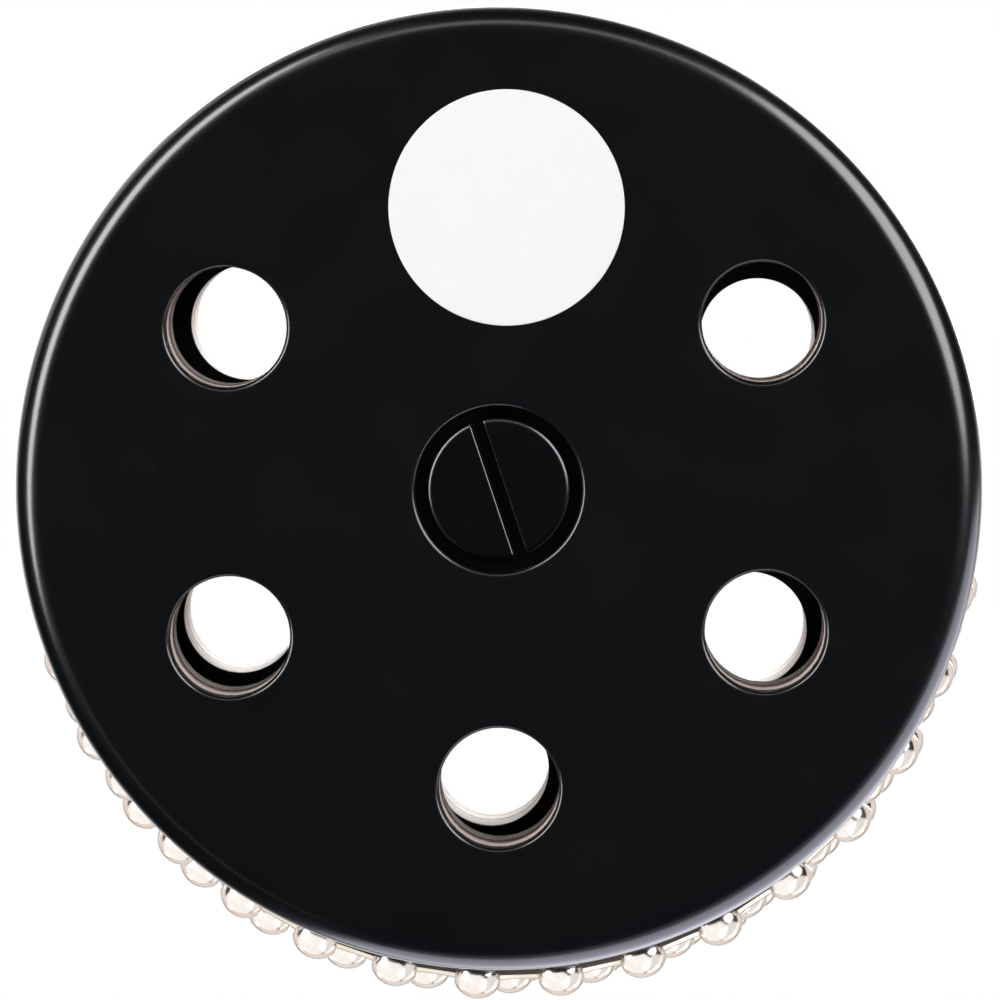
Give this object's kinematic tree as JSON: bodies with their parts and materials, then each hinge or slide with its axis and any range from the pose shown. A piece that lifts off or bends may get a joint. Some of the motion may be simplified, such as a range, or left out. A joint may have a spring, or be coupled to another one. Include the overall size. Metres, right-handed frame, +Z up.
{
  "type": "cabasa",
  "caption": "Hand cabasa: loops of metal ball chain hang round a textured steel drum between two black wooden discs with sound holes, on a turned handle.",
  "frame": {"origin": "middle of the handle's straight grip, on the axis", "axes": "+Y along the axis from the head to the handle's tail, so the front disc faces -Y; +Z up, with the chain loops hanging towards -Z"},
  "size_m": [0.1108, 0.183, 0.1134],
  "materials": {
    "black_lacquer_plywood": "satin black lacquer, raw plies in the holes",
    "white_vinyl": "bare label",
    "textured_steel": "embossed stainless sheet",
    "zinc_steel": "zinc plated",
    "black_oxide_steel": "black oxide, worn bright on the edges",
    "black_lacquer_wood": "satin black lacquer",
    "brass": "turned",
    "nickel_balls": "nickel plated",
    "brass_links": "nickel plated wire"
  },
  "bodies": {
    "frame": {"front_disc": "black_lacquer_plywood", "rear_disc": "black_lacquer_plywood", "label": "white_vinyl", "cylinder_shell": "textured_steel", "spacer_tube": "zinc_steel", "tie_bolt": "black_oxide_steel", "handle": "black_lacquer_wood", "handle_insert": "brass"},
    "chain_1": {"chain_1_balls": "nickel_balls", "chain_1_links": "brass_links"},
    "chain_2": {"chain_2_balls": "nickel_balls", "chain_2_links": "brass_links"},
    "chain_3": {"chain_3_balls": "nickel_balls", "chain_3_links": "brass_links"},
    "chain_4": {"chain_4_balls": "nickel_balls", "chain_4_links": "brass_links"},
    "chain_5": {"chain_5_balls": "nickel_balls", "chain_5_links": "brass_links"},
    "chain_6": {"chain_6_balls": "nickel_balls", "chain_6_links": "brass_links"}
  },
  "joints": [
    {"name": "chain_1_turn", "type": "hinge", "parent": "frame", "child": "chain_1", "pos_m": [0.00036, -0.1117, -0.00511], "axis": [0, 1, 0], "continuous": true},
    {"name": "chain_2_turn", "type": "hinge", "parent": "frame", "child": "chain_2", "pos_m": [-0.00078, -0.1056, -0.00507], "axis": [0, 1, 0], "continuous": true},
    {"name": "chain_3_turn", "type": "hinge", "parent": "frame", "child": "chain_3", "pos_m": [0.00129, -0.0995, -0.00496], "axis": [0, 1, 0], "continuous": true},
    {"name": "chain_4_turn", "type": "hinge", "parent": "frame", "child": "chain_4", "pos_m": [0.00071, -0.0934, -0.00508], "axis": [0, 1, 0], "continuous": true},
    {"name": "chain_5_turn", "type": "hinge", "parent": "frame", "child": "chain_5", "pos_m": [-0.00088, -0.0873, -0.00505], "axis": [0, 1, 0], "continuous": true},
    {"name": "chain_6_turn", "type": "hinge", "parent": "frame", "child": "chain_6", "pos_m": [0.00103, -0.0812, -0.00502], "axis": [0, 1, 0], "continuous": true}
  ]
}
